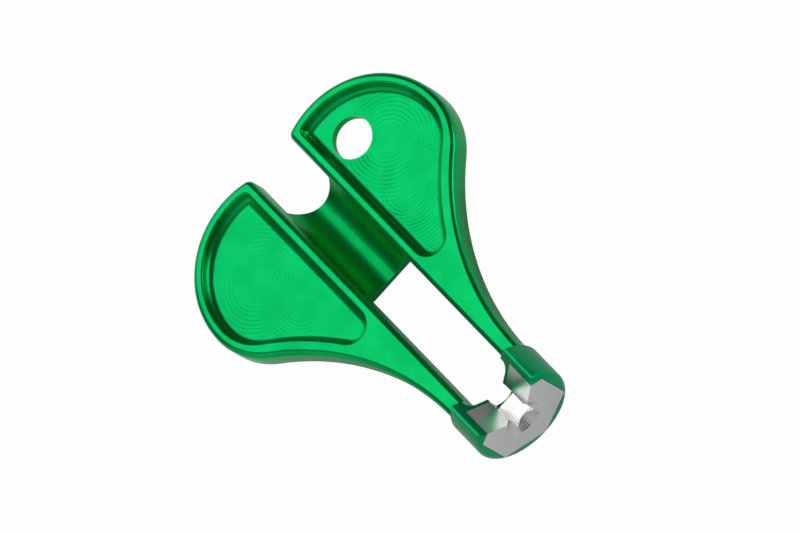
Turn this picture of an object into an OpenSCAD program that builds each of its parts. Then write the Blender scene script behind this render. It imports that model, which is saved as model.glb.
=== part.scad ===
// Spoke wrench: a machined aluminium handle with a hexagonal steel insert pressed into its nose.
// The spoke lies along the long axis (Y). The nose points to -Y and the wings to +Y.

/* [Overall] */
// Length from the front of the nose to the rear of the wings
length = 59.2; // [54:0.1:70]
// Width across both wings
width = 47.2; // [42:0.1:56]
// Thickness of the wings and arms
thickness = 4.7; // [4:0.1:6.5]

/* [Wings] */
// Radius of the large arc round the back of each wing
wing_r = 14.6; // [12:0.1:16]
// Radius of the arc that joins the large arc to the hollow flank
side_r = 10.94; // [8:0.02:13]
// Radius of the inner corner at the back of each wing
tip_r = 1.3; // [1:0.1:2]
// Radius of the rounded edges
edge_r = 0.95; // [0.4:0.05:1.1]

/* [Spoke channel] */
// Width of the slot between the wings and of the window between the arms
channel_w = 8.3; // [7:0.1:9.5]
// Radius of the half-pipe that the spoke lies in, about the tool axis
pipe_r = 4.25; // [4:0.05:5.2]
// Thickness of the web under the half-pipe
web_t = 0.95; // [0.8:0.05:1.6]
// Width of the web where it hangs below the wings
web_w = 10.6; // [9.6:0.1:11.4]
// Radius of the lower edges of the web
web_edge_r = 1.2; // [0.5:0.1:1.5]
// Distance from the front of the nose to the web
web_y = 33.8; // [30:0.1:36]
// Length of the web on the centre line
web_len = 16.4; // [12:0.1:18]
// Radius of the hollow end of the web, seen from above
web_end_r = 6; // [5.6:0.1:8]

/* [Pockets] */
// Rim between the pocket and the large arc
rim_w = 1.65; // [1.4:0.05:2.4]
// Rim between the pocket and the hollow flank
flank_rim_w = 2.2; // [1.6:0.05:3]
// Strip between the pocket and the spoke channel
strip_w = 1.75; // [1.4:0.05:2.4]
// Radius of the rounded edge where the pocket opens
pocket_edge_r = 0.35; // [0.2:0.05:0.4]
// Height of the straight part of the pocket wall
pocket_wall = 0.1; // [0.05:0.05:0.3]
// Radius between the pocket wall and its floor
floor_r = 1.2; // [0.6:0.05:1.3]
// Radius of the corner of the pocket at the back of the wing
pocket_tip_r = 0.8; // [0.5:0.1:2]
// Radius of the narrow end of the pocket
pocket_end_r = 2.6; // [1.8:0.1:3]

/* [Hanging hole] */
// Diameter of the hole in the right wing
hole_d = 6.35; // [4:0.05:7]
// Distance of the hole from the centre line
hole_x = 10.4; // [10:0.1:13]
// Distance of the hole from the rear of the wings
hole_back = 8.1; // [7:0.1:10]

/* [Nose] */
// Diameter of the nose
nose_d = 15.9; // [15.3:0.1:18]
// Length of the nose
nose_len = 7; // [6.8:0.1:9]
// Radius of the front edge of the nose
nose_round = 1; // [0.6:0.05:1.4]
// Width of the flat on top of each side of the V
land_w = 0.35; // [0.2:0.05:0.6]
// Set-in of the arms from the side of the nose
arm_in = 0.8; // [0.6:0.05:1.2]
// Radius of the hollow between the top of an arm and the nose
shoulder_r = 0.8; // [0.5:0.05:1.2]
// Length over which an arm widens to the side of the nose
flare_len = 2; // [1:0.1:4]
// Diameter of the spoke clearance behind the insert
spoke_d = 4.5; // [3.6:0.1:6]
// Thickness of the lip behind the insert
lip_t = 0.5; // [0.4:0.05:1]
// Radius of the front corners of the window
window_r = 1.2; // [0.6:0.1:1.4]

/* [Insert] */
// Width across the flats of the hexagon
hex_af = 12.7; // [11.5:0.1:13]
// Length of the insert
insert_len = 5; // [4:0.1:5.4]
// Width of the slot that takes the spoke nipple
nipple_w = 3.3; // [3.2:0.01:4]
// Large diameter of the lead-in cone
lead_d = 6; // [5:0.1:7]

/* [Fits] */
// Gap between the insert and the socket on each side
hex_gap = 0.08; // [0.02:0.01:0.12]

/* [Hidden] */
$fn = 128;
over = 1;
half_t = thickness / 2;
half_c = channel_w / 2;
nose_r = nose_d / 2;
arm_x = nose_r - arm_in;
// Rounded edges leave each face at this angle, so that the two surfaces cross cleanly
lift = 9;
// Centres of the large wing arc and of the arc that joins it to the flank
arc_c = [width / 2 - wing_r, length - wing_r];
side_c = [width / 2 - side_r, arc_c.y];
// The hollow flank touches the joining arc and runs into the arm a little behind the nose
waist_y = nose_len + shoulder_r;
waist_dx = side_c.x - arm_x;
waist_dy = side_c.y - waist_y;
waist_r = round(10000 * (waist_dx ^ 2 + waist_dy ^ 2 - side_r ^ 2) / (2 * (side_r + waist_dx))) / 10000;
waist_c = [arm_x + waist_r, waist_y];
// The inner corner of the wing is set in from the channel side and from the large arc by the same amount
tip_in = tip_r * cos(lift);
tip_c = [half_c + tip_in, arc_c.y + sqrt((wing_r - tip_in) ^ 2 - (half_c + tip_in - arc_c.x) ^ 2)];
web_back = web_y + web_len + web_end_r - sqrt(web_end_r ^ 2 - half_c ^ 2);
window_y = insert_len + lip_t;
// Height at which the V face and the side of the nose are land_w apart
land_z = (sqrt(2 * nose_r ^ 2 - land_w ^ 2) - land_w) / 2;
pocket_d = pocket_edge_r + pocket_wall + floor_r;
// Outline of the pocket: side along the channel, narrow end, flank, joining arc and large arc
pocket_x = half_c + strip_w;
flank_r = waist_r + flank_rim_w;
end_x = pocket_x + pocket_end_r;
end_c = [end_x, waist_c.y + sqrt((flank_r + pocket_end_r) ^ 2 - (waist_c.x - end_x) ^ 2)];

function heading(v) = atan2(v.y, v.x);
// Radius of the arc that joins a large arc, at its widest point side_x, to a hollow flank of radius r
function join_r(side_x, r) =
    let (dx = waist_c.x - side_x, dy = arc_c.y - waist_c.y)
    (dx ^ 2 + dy ^ 2 - r ^ 2) / (2 * (r - dx));

// Puts the tool axis at half the nose diameter above the origin, with the origin in the middle of the length
module placed() {
    translate([0, -length / 2, nose_r])
        children();
}

// Local frame at a point, with its X axis turned to an angle
module at(c, angle) {
    translate(c)
        rotate(angle)
            children();
}

// A section drawn in X and Z, run along Y
module along_y(from, to) {
    translate([0, to, 0])
        rotate([90, 0, 0])
            linear_extrude(to - from)
                children();
}

// Waste of a rounded corner at the origin of a section that lies below and left of it
module corner(r) {
    q = r * cos(lift);
    difference() {
        translate([-q, -q])
            square(q + over);
        translate([-q, -q])
            circle(r);
    }
}

// Half section of a wing arc, from radius r0 to r: rounded on both faces
module wing_section(r0, r) {
    difference() {
        translate([r0, -half_t])
            square([r - r0, thickness]);
        for (face = [0, 1])
            mirror([0, face])
                translate([r, half_t])
                    corner(edge_r);
    }
}

// Half section of the flank of a wing: rounded on both faces towards its centre
module flank_section() {
    difference() {
        translate([waist_r, -half_t])
            square([norm(waist_c - [0, arc_c.y]) - waist_r, thickness]);
        for (face = [0, 1])
            mirror([0, face])
                translate([waist_r, half_t])
                    mirror([1, 0])
                        corner(edge_r);
    }
}

// Right wing with its arm: large arc, joining arc and hollow flank meet in smooth lines
module wing() {
    difference() {
        union() {
            at(arc_c, 0)
                rotate_extrude(angle = 180)
                    wing_section(0, wing_r);
            intersection() {
                at(side_c, heading(waist_c - side_c)) {
                    rotate_extrude(angle = 100)
                        wing_section(0.3 * side_r, side_r);
                    cylinder(r = 0.45 * side_r, h = thickness, center = true);
                    at([side_r + waist_r, 0], 180)
                        rotate_extrude(angle = 80)
                            flank_section();
                }
                translate([half_c - over, arc_c.y, -thickness])
                    mirror([0, 1])
                        cube([width / 2, arc_c.y - window_y + over, 2 * thickness]);
            }
        }
        // Channel side
        translate([half_c - width, 0, -thickness])
            cube([width, 2 * length, 2 * thickness]);
        // Inner corner at the back
        difference() {
            translate([0, 0, -thickness])
                linear_extrude(2 * thickness)
                    polygon([
                        tip_c, tip_c + 1.4 * (tip_c - arc_c), tip_c + [-9, 9], tip_c - [9, 0]
                    ]);
            at(tip_c, 0)
                rotate_extrude()
                    wing_section(0, tip_r);
        }
        channel_edge(window_y - over, length + over);
    }
}

// Rounding of the channel side of a wing on one face
module channel_edge(from, to) {
    along_y(from, to)
        translate([half_c, half_t])
            mirror([1, 0])
                corner(edge_r);
}

// Points of an arc in n steps, without its last point
function arc(c, r, from, to, n) =
    [for (i = [0 : n - 1]) let (a = from + (to - from) * i / n) c + r * [cos(a), sin(a)]];

// Outline of the pocket, moved inwards by inset, at height z
function pocket_ring(inset, z) =
    let (
        join = join_r(width / 2 - rim_w, flank_r),
        join_c = [width / 2 - rim_w - join, arc_c.y],
        r = wing_r - rim_w - inset,
        corner_r = max(pocket_tip_r - inset, 0.02),
        corner_x = pocket_x + inset + corner_r,
        corner_c = [corner_x, arc_c.y + sqrt((r - corner_r) ^ 2 - (corner_x - arc_c.x) ^ 2)],
        turn = heading(corner_c - arc_c),
        outline = concat(
            arc(end_c, pocket_end_r - inset, 180, 360 + heading(waist_c - end_c), 12),
            arc(waist_c, flank_r + inset, heading(end_c - waist_c), heading(join_c - waist_c), 10),
            arc(join_c, join - inset, heading(waist_c - join_c), 0, 8),
            arc(arc_c, r, 0, turn, 22),
            arc(corner_c, corner_r, turn, 180, 5),
            [corner_c - [corner_r, 0]]
        )
    )
    [for (p = outline) [p.x, p.y, z]];

// Pocket in the upper face of the right wing: rounded where it opens and where its wall meets the floor
module pocket() {
    rings = concat(
        [pocket_ring(-2 * pocket_edge_r, pocket_edge_r / 5)],
        [for (b = [80 : -20 : 0]) pocket_ring(pocket_edge_r * (cos(b) - 1), pocket_edge_r * (sin(b) - 1))],
        [for (a = [0 : 15 : 90]) pocket_ring(floor_r * (1 - cos(a)), floor_r * (1 - sin(a)) - pocket_d)]
    );
    n = len(rings[0]);
    last = (len(rings) - 1) * n;
    sides = [
        for (k = [0 : len(rings) - 2], i = [0 : n - 1])
            let (a = k * n + i, b = k * n + (i + 1) % n)
            each [[a, b, b + n], [a, b + n, a + n]]
    ];
    top = [for (i = [n - 1 : -1 : 0]) i];
    floor = [for (i = [0 : n - 1]) last + i];
    translate([0, 0, half_t])
        polyhedron([for (ring = rings) each ring], concat(sides, [top, floor]));
}

// Web between the wings, hanging below them, with the half-pipe that the spoke lies in
module web() {
    depth = pipe_r + web_t;
    difference() {
        union() {
            along_y(web_y, web_back + 0.5)
                translate([-half_c, -depth])
                    square([channel_w, depth]);
            along_y(web_y, web_back + 5)
                difference() {
                    translate([-web_w / 2, -depth])
                        square([web_w, depth - half_t + 0.4]);
                    for (side = [0, 1])
                        mirror([side, 0])
                            translate([web_w / 2, -depth])
                                mirror([0, 1])
                                    corner(web_edge_r);
                }
        }
        translate([0, web_y - over, 0])
            rotate([-90, 0, 0])
                cylinder(r = pipe_r, h = web_len + 2 * web_end_r);
        translate([0, web_y + web_len + web_end_r, -nose_d])
            cylinder(r = web_end_r, h = 2 * nose_d);
    }
}

// Hollow and flare where an arm runs into the back of the nose, on the right side
module shoulder() {
    q = shoulder_r * cos(lift);
    for (face = [0, 1])
        mirror([0, 0, face])
            translate([half_c, nose_len, half_t])
                rotate([90, 0, 90])
                    linear_extrude(arm_x - edge_r - half_c)
                        difference() {
                            translate([-0.4, -0.4])
                                square(q + 0.4);
                            translate([q, q])
                                circle(shoulder_r);
                        }
    intersection() {
        translate([0, nose_len - 0.5, 0])
            rotate([-90, 0, 0])
                cylinder(r1 = nose_r - 0.05, r2 = arm_x - 0.15, h = flare_len + 0.5);
        translate([half_c, 0, edge_r - half_t])
            cube([nose_d, length, thickness - 2 * edge_r]);
    }
}

// Nose without its openings: a short round bar with rounded edges
module nose_bar() {
    rotate([-90, 0, 0])
        rotate_extrude()
            difference() {
                square([nose_r, nose_len]);
                translate([nose_r, 0])
                    mirror([0, 1])
                        corner(nose_round);
                translate([nose_r, nose_len])
                    corner(edge_r / 2);
            }
}

// Hexagon with a corner at the bottom
module hexagon(af) {
    rotate(90)
        circle(d = af / cos(30), $fn = 6);
}

// Open V with its point on the tool axis
module open_v(from, to) {
    along_y(from, to)
        polygon([[0, 0], [nose_d, nose_d], [-nose_d, nose_d]]);
}

// Handle, machined from one piece of aluminium and dyed green
module handle() {
    color([0.05, 0.62, 0.36])
        placed()
            difference() {
                union() {
                    for (side = [0, 1])
                        mirror([side, 0, 0]) {
                            difference() {
                                wing();
                                mirror([0, 0, 1])
                                    channel_edge(window_y - over, web_y);
                                mirror([0, 0, 1])
                                    channel_edge(web_back + 0.2, length + over);
                                for (face = [0, 1])
                                    mirror([0, 0, face])
                                        pocket();
                            }
                            shoulder();
                        }
                    web();
                    difference() {
                        nose_bar();
                        // Front end of the window between the arms
                        translate([0, 0, -nose_d])
                            linear_extrude(2 * nose_d)
                                difference() {
                                    translate([-half_c, window_y])
                                        square([channel_w, nose_len]);
                                    for (side = [0, 1])
                                        mirror([side, 0])
                                            translate([half_c, window_y])
                                                mirror([0, 1])
                                                    corner(window_r);
                                }
                    }
                }
                // Hanging hole
                translate([hole_x, length - hole_back, -thickness])
                    cylinder(d = hole_d, h = 2 * thickness);
                // Socket for the insert
                along_y(-over, insert_len)
                    hexagon(hex_af + 2 * hex_gap);
                // V that leads the spoke in
                open_v(-over, nose_len + over);
                // Flats on top of the V
                translate([-nose_d, -over, land_z])
                    cube([2 * nose_d, nose_len + 2 * over, nose_d]);
                // Spoke clearance behind the insert
                translate([0, insert_len - over, 0])
                    rotate([-90, 0, 0])
                        cylinder(d = spoke_d, h = lip_t + 2 * over);
            }
}

// Hardened steel insert that grips the flats of the nipple
module hex_insert() {
    color([0.62, 0.63, 0.62])
        placed()
            difference() {
                along_y(0, insert_len)
                    hexagon(hex_af);
                open_v(-over, insert_len + over);
                // Slot for the nipple
                translate([-nipple_w / 2, -over, -nipple_w / 2])
                    cube([nipple_w, insert_len + 2 * over, nose_d]);
                // Lead-in cone at the front
                translate([0, -over, 0])
                    rotate([-90, 0, 0])
                        cylinder(r1 = lead_d / 2 + over, r2 = 0, h = lead_d / 2 + over);
            }
}

handle();
hex_insert();
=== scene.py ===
import math

import bpy
from mathutils import Matrix, Vector

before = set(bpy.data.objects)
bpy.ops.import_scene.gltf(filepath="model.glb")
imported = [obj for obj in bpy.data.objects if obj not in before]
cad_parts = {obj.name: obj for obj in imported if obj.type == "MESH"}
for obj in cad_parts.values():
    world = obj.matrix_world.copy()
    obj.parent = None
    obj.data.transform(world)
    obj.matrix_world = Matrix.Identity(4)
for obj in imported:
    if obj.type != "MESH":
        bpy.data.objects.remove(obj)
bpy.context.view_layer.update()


# Handle: the grip, two round wings with a spoke channel between them, two arms and a round nose.
# Milled from one piece of aluminium and dyed green by anodising, so it is metal under a clear
# tinted skin, with the cutter's marks left on the pocket floors and along the half-pipe.

class Value:
    """A socket that takes part in sums: each operator adds one Math node."""

    def __init__(self, look, socket):
        self.look, self.socket = look, socket

    def math(self, operation, *others):
        sockets = dict(enumerate((self,) + others))
        return self.look.node("ShaderNodeMath", {"operation": operation}, sockets)

    def __add__(self, other):
        return self.math("ADD", other)

    def __radd__(self, other):
        return self.math("ADD", other)

    def __sub__(self, other):
        return self.math("SUBTRACT", other)

    def __rsub__(self, other):
        return (self * -1).math("ADD", other)

    def __mul__(self, other):
        return self.math("MULTIPLY", other)

    def __rmul__(self, other):
        return self.math("MULTIPLY", other)

    def __abs__(self):
        return self.math("ABSOLUTE")

    def sin(self):
        return self.math("SINE")

    def hypot(self, other):
        return (self * self + other * other).math("SQRT")

    def above(self, low, high):
        """0 below low, 1 above high, with a soft step between."""
        return self.look.node("ShaderNodeMapRange", {"interpolation_type": "SMOOTHSTEP"},
                              {"Value": self, "From Min": low, "From Max": high})


class Look:
    """The nodes of a material, of the room's light or of a shading step, under construction."""

    def __init__(self, owner):
        self.owner = self.tree = owner
        if not isinstance(owner, bpy.types.NodeTree):
            owner.use_nodes = True
            self.tree = owner.node_tree
        self.tree.nodes.clear()

    def node(self, kind, settings=None, sockets=None, out=0):
        """Adds a node: its settings first, then values or links for its sockets."""
        node = self.tree.nodes.new(kind)
        for key, value in (settings or {}).items():
            setattr(node, key, value)
        for key, value in (sockets or {}).items():
            if isinstance(value, Value):
                self.tree.links.new(value.socket, node.inputs[key])
            else:
                node.inputs[key].default_value = value
        return Value(self, node.outputs[out]) if node.outputs else node

    def millimetres(self):
        """Millimetres from the tool's axis in X and Z, and from the front of the nose in Y."""
        metre = (1000, 1000, 1000)
        nose_front = (0, 29.6, -7.95)
        point = self.node("ShaderNodeTexCoord", out="Object")
        point = self.node("ShaderNodeVectorMath", {"operation": "MULTIPLY_ADD"},
                          {0: point, 1: metre, 2: nose_front})
        axes = [self.node("ShaderNodeSeparateXYZ", None, {0: point}, axis) for axis in "XYZ"]
        return point, *axes

    def facing(self, axis):
        """How far the surface faces along an axis, from -1 to 1."""
        normal = self.node("ShaderNodeNewGeometry", out="Normal")
        return self.node("ShaderNodeSeparateXYZ", None, {0: normal}, axis)

    def noise(self, point, per_mm, detail=2.0):
        """Soft noise round 0.5, with its own number of humps to the millimetre in X, Y and Z."""
        point = self.node("ShaderNodeVectorMath", {"operation": "MULTIPLY"}, {0: point, 1: per_mm})
        return self.node("ShaderNodeTexNoise", None,
                         {"Vector": point, "Scale": 1.0, "Detail": detail}, "Fac")

    def mix(self, factor, first, second):
        """A blend of two colours, whose sockets come after those for numbers and vectors."""
        return self.node("ShaderNodeMix", {"data_type": "RGBA"},
                         {0: factor, 6: first, 7: second}, 2)

    def bump(self, height):
        """A normal for a height in millimetres."""
        return self.node("ShaderNodeBump", None,
                         {"Strength": 1.0, "Distance": 0.001, "Height": height})

    def surface(self, shader):
        self.node("ShaderNodeOutputMaterial", None, {"Surface": shader})
        return self.owner


def smooth_by_angle(obj, degrees):
    """Joins the split corners of a CAD node and smooths it, apart from edges sharper than this."""
    obj.modifiers.new("joined corners", "WELD").merge_threshold = 2e-6
    group = bpy.data.node_groups.new("smooth by angle", "GeometryNodeTree")
    for side in ("INPUT", "OUTPUT"):
        group.interface.new_socket("Geometry", in_out=side, socket_type="NodeSocketGeometry")
    steps = Look(group)
    mesh = steps.node("NodeGroupInput")
    mesh = steps.node("GeometryNodeSetShadeSmooth", None, {"Geometry": mesh})
    bend = steps.node("GeometryNodeInputMeshEdgeAngle", out="Unsigned Angle")
    soft = steps.node("FunctionNodeCompare", {"operation": "LESS_THAN"},
                      {"A": bend, "B": math.radians(degrees)})
    mesh = steps.node("GeometryNodeSetShadeSmooth", {"domain": "EDGE"},
                      {"Geometry": mesh, "Shade Smooth": soft})
    # Where a rounding runs out into a level face, the corners that they share stand upright
    of_face = {"domain": "FACE", "data_type": "FLOAT"}
    of_point = {"domain": "POINT", "data_type": "FLOAT"}
    just_over_one = 1.0001
    smooth = steps.node("GeometryNodeInputNormal", {"legacy_corner_normals": False}, None, "Normal")
    true = steps.node("GeometryNodeInputNormal", None, None, "True Normal")
    tilt = steps.node("ShaderNodeSeparateXYZ", None, {0: true}, "Z")
    tilt = steps.node("GeometryNodeFieldOnDomain", of_face, {0: tilt})
    level = (tilt * just_over_one).math("TRUNC")
    level = steps.node("GeometryNodeFieldOnDomain", of_face, {0: level})
    level = steps.node("GeometryNodeFieldOnDomain", of_point, {0: level}).math("SIGN")
    upright = steps.node("ShaderNodeCombineXYZ", None, {"Z": level})
    joined = steps.node("FunctionNodeCompare", {"operation": "GREATER_THAN"},
                        {"A": tilt * level, "B": math.cos(math.radians(degrees))})
    normal = steps.node("GeometryNodeSwitch", {"input_type": "VECTOR"},
                        {"Switch": joined, "False": smooth, "True": upright})
    mesh = steps.node("GeometryNodeSetMeshNormal", {"mode": "FREE", "domain": "CORNER"},
                      {"Mesh": mesh, "Custom Normal": normal})
    steps.node("NodeGroupOutput", None, {"Geometry": mesh})
    obj.modifiers.new("smooth by angle", "NODES").node_group = group


def anodised_green():
    look = Look(bpy.data.materials.new("anodised green"))
    point, x, y, z = look.millimetres()
    side = abs(x)
    level = abs(look.facing("Z")).above(0.985, 0.998)

    # Where the pocket floors, the half-pipe and the nose are
    pocket_side, pocket_floor = 5.5, 0.9
    pipe_side, web_front, nose_end = 4.1, 33, 7.0
    pocket = level * side.above(pocket_side, pocket_side + 1)
    pocket = pocket * (1 - abs(z).above(pocket_floor, pocket_floor + 0.3))
    pipe = (1 - side.above(pipe_side, pipe_side + 0.2)) * y.above(web_front, web_front + 1)
    nose = 1 - y.above(nose_end, nose_end + 0.6)

    # Rings of the end mill, round the middle of the wing and again towards its narrow end,
    # cut deeper on the side with the hole
    wander = look.noise(point, (0.35, 0.35, 0.35))
    worn = look.noise(point, (0.3, 0.3, 0.3)).above(0.35, 0.6)
    middle = (side - 14).hypot(y - 46.5)
    narrow = (side - 11).hypot(y - 39)
    middle_rings = (middle * 9.7 + wander * 4).sin()
    narrow_rings = (narrow * 11.5 + wander * 3).sin()
    near_middle = middle.above(0.8, 4) - middle.above(5, 13)
    near_narrow = narrow.above(1, 4) * (1 - y.above(38, 44))
    rings = middle_rings * near_middle + narrow_rings * near_narrow
    hole_side = x.above(-1, 1)
    rings = rings * (worn * 0.85 + 0.15) * (hole_side * 0.45 + 0.55)

    # Lengthwise marks in the half-pipe, and the grain and slow swell of the whole surface
    ring_depth, drawn_depth, grain_depth, swell_depth = 0.011, 0.006, 0.0003, 0.09
    drawn = look.noise(point, (5, 0.12, 5), 3.0) - 0.5
    grain = look.noise(point, (9, 9, 9), 3.0) - 0.5
    swell = look.noise(point, (0.16, 0.3, 0.3), 1.0)
    height = rings * pocket * ring_depth + drawn * pipe * drawn_depth
    height = height + grain * grain_depth + swell * swell_depth

    # The dye is patchy. The half-pipe carries painted shade, as if shaded in its hollow, and the
    # nose carries painted shade for the dark reflections it shows
    dark_dye, pale_dye = (0.0, 0.56, 0.13, 1), (0.001, 0.68, 0.172, 1)
    pipe_painted_shade, nose_painted_shade = (0.0, 0.40, 0.05, 1), (0.0, 0.38, 0.18, 1)
    patches = look.noise(point, (0.22, 0.22, 0.22), 3.0)
    colour = look.mix(patches.above(0.3, 0.7), dark_dye, pale_dye)
    # Painted shade: the half-pipe's green is darkened as if shaded in the channel
    colour = look.mix(pipe * 0.35, colour, pipe_painted_shade)
    # Painted shade: the nose is darkened and tinted bluer in place of the dark reflections on it
    colour = look.mix(nose * 0.55, colour, nose_painted_shade)
    rough = 0.28 + patches * 0.06 + pipe * 0.06
    shader = look.node("ShaderNodeBsdfPrincipled", None, {
        "Base Color": colour, "Metallic": 1.0, "Roughness": rough, "Normal": look.bump(height),
        "Coat Weight": 1.0, "Coat IOR": 1.1, "Coat Roughness": 0.08})
    return look.surface(shader)


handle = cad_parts["handle"]
smooth_by_angle(handle, 32)
handle.data.materials.clear()
handle.data.materials.append(anodised_green())


# Hexagonal insert: the working end, a short bar with a V and a square slot that turns the nipple.
# Hardened steel, ground on the outside, wire-cut in the slot and pressed into the nose, with a
# lead-in cone whose countersink has left chatter marks.

def ground_steel():
    look = Look(bpy.data.materials.new("ground steel"))
    point, x, y, z = look.millimetres()
    cone_r, cone_depth = 2.9, 1.3
    around = x.hypot(z)
    cone = (1 - around.above(cone_r, cone_r + 0.15)) * (1 - y.above(cone_depth, cone_depth + 0.2))
    cone = cone * (1 - abs(look.facing("Y")).above(0.9, 0.97))
    cut_depth, turned_depth, chatter_depth = 0.004, 0.001, 0.016
    cut = look.noise(point, (2, 7, 7), 4.0) - 0.5
    cloud = look.noise(point, (0.7, 0.7, 0.7), 4.0)
    turned = (around * 30).sin() * cone
    chatter = (z.math("ARCTAN2", x) * 41 + cloud * 9).sin() * cone * cloud
    height = cut * cut_depth + turned * turned_depth + chatter * chatter_depth
    colour = look.mix(cloud, (0.88, 0.89, 0.88, 1), (0.97, 0.97, 0.96, 1))
    shader = look.node("ShaderNodeBsdfPrincipled", None, {
        "Base Color": colour, "Metallic": 1.0, "Roughness": 0.2 + cloud * 0.1,
        "Normal": look.bump(height)})
    return look.surface(shader)


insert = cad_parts["hex_insert"]
smooth_by_angle(insert, 24)
insert.data.materials.clear()
insert.data.materials.append(ground_steel())


# Floor: a plain sheet of paper under the tool, white to the camera, with a trace of shadow.
# The metal mirrors it greyer, and greyest under the tool, where a shadow is painted into what it
# mirrors.

def white_sheet():
    look = Look(bpy.data.materials.new("white sheet"))
    seen = look.node("ShaderNodeLightPath", out="Is Camera Ray")
    mirrored = look.node("ShaderNodeLightPath", out="Is Glossy Ray")
    through = look.node("ShaderNodeLightPath", out="Is Transmission Ray")
    lit = look.node("ShaderNodeBsdfDiffuse", None, {"Color": (0.9, 0.9, 0.9, 1)})
    white = look.node("ShaderNodeEmission", None, {"Color": (1, 1, 1, 1), "Strength": 1.0})
    spot = look.node("ShaderNodeTexCoord", out="Object")
    distance = look.node("ShaderNodeVectorMath", {"operation": "LENGTH"}, {0: spot}, "Value")
    # Painted shadow: near the tool the sheet mirrors less white, a shadow painted round its
    # footprint
    outside_painted_shadow = distance.above(0.008, 0.03)
    share = seen * 0.98 + mirrored * outside_painted_shadow * 0.22 + through * 0.98
    return look.surface(look.node("ShaderNodeMixShader", None, {0: share, 1: lit, 2: white}))


bpy.ops.mesh.primitive_plane_add(size=6, location=(0, 0, 0))
floor = bpy.context.object
floor.name = "floor"
floor.data.materials.append(white_sheet())


# Light: a softbox behind the tool and above it, where the flat faces mirror it to the camera,
# a window low on the right, and a dim room with paler walls at the back, the left and the front.

def softbox(name, direction, distance, size, power, colour=(1, 1, 1)):
    """A rectangular lamp that faces the middle of the tool from a direction."""
    lamp = bpy.data.lights.new(name, "AREA")
    lamp.shape = "RECTANGLE"
    lamp.size, lamp.size_y = size
    lamp.energy = power
    lamp.color = colour
    holder = bpy.data.objects.new(name, lamp)
    tool_middle = Vector((0, 0, 0.008))
    direction = Vector(direction).normalized()
    holder.location = tool_middle + direction * distance
    holder.rotation_euler = direction.to_track_quat("Z", "Y").to_euler()
    bpy.context.scene.collection.objects.link(holder)


softbox("overhead softbox", direction=(-0.01, 0.47, 0.87), distance=0.6,
        size=(0.32, 0.34), power=0.385)
softbox("side window", direction=(0.86, -0.40, 0.26), distance=0.6,
        size=(0.36, 0.16), power=0.40, colour=(0.80, 1.0, 1.0))

room = Look(bpy.data.worlds.new("studio room"))
way = room.node("ShaderNodeTexCoord", out="Generated")
height = room.node("ShaderNodeSeparateXYZ", None, {0: way}, "Z")


def pale_wall(direction, edge, core):
    """1 round a direction, falling to 0 where the cosine of the angle to it is at the edge."""
    direction = Vector(direction).normalized()
    return room.node("ShaderNodeVectorMath", {"operation": "DOT_PRODUCT"},
                     {0: way, 1: direction}, "Value").above(edge, core)


dim = 0.06
horizon = (1 - height.above(0.05, 0.3)) * 0.14
rear = pale_wall((-0.22, 0.85, 0.48), edge=0.86, core=0.97) * 0.5
left = pale_wall((-0.85, -0.08, 0.5), edge=0.86, core=0.95) * 0.45
front = pale_wall((-0.35, -0.65, 0.65), edge=0.75, core=0.95) * 0.35
brightness = horizon + rear + left + front + dim
air = room.node("ShaderNodeBackground", None, {"Color": (1, 1, 1, 1), "Strength": brightness})
room.node("ShaderNodeOutputWorld", None, {"Surface": air})
bpy.context.scene.world = room.owner
bpy.context.scene.view_settings.view_transform = "Standard"


# Camera: without perspective, so that parallel edges stay parallel, above the nose and turned
# so that the tool lies across the picture from top left to bottom right.

picture_width = 0.1138
camera_distance = 0.6
aim = Vector((0.00237, 0.00204, 0.00789))
right = Vector((0.6641, -0.6062, -0.4378)).normalized()
back = Vector((0.1226, -0.4893, 0.8635)).normalized()
up = back.cross(right).normalized()
right = up.cross(back)
lens = bpy.data.cameras.new("camera")
lens.type = "ORTHO"
lens.ortho_scale = picture_width
lens.clip_start, lens.clip_end = 0.01, 5
camera = bpy.data.objects.new("camera", lens)
turn = Matrix((right, up, back)).transposed().to_4x4()
camera.matrix_world = Matrix.Translation(aim + back * camera_distance) @ turn
bpy.context.scene.collection.objects.link(camera)
bpy.context.scene.camera = camera
